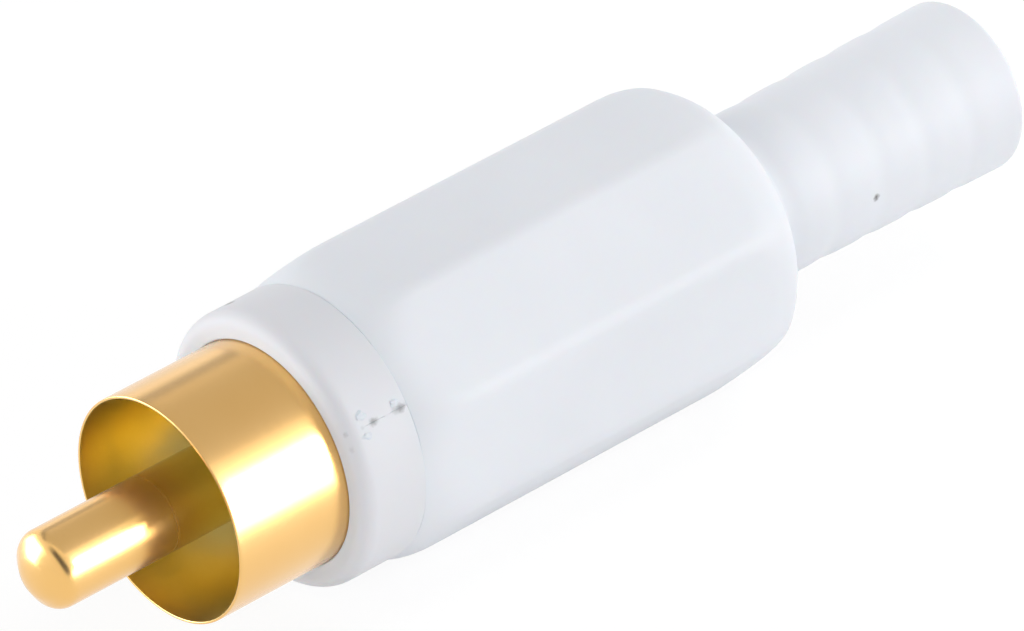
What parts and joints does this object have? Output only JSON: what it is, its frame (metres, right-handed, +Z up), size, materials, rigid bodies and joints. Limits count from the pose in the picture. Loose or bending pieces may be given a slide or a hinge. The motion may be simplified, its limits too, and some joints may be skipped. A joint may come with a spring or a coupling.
{
  "type": "phono plug",
  "caption": "White cable plug with a gold-plated centre pin and ground sleeve, and an octagonal screw-on hood with a ribbed bend relief.",
  "frame": {"origin": "on the plug's axis, in the plane of the ground sleeve's mouth", "axes": "+X along the plug's axis towards the pin's tip, the way it is pushed into a socket; +Z up, with one flat of the hood underneath"},
  "size_m": [0.0465, 0.0114, 0.0114],
  "materials": {
    "white_plastic": "moulded white plastic with a soft gloss",
    "gold_plate": "polished gold plate on brass"
  },
  "bodies": {
    "insert": {"core": "white_plastic", "ground_sleeve": "gold_plate", "centre_pin": "gold_plate", "ground_lug": "gold_plate"},
    "hood": {"hood": "white_plastic"}
  },
  "joints": [
    {"name": "hood_slide", "type": "slide", "parent": "insert", "child": "hood", "axis": [-1, 0, 0], "range_m": [0, 0.02]}
  ]
}
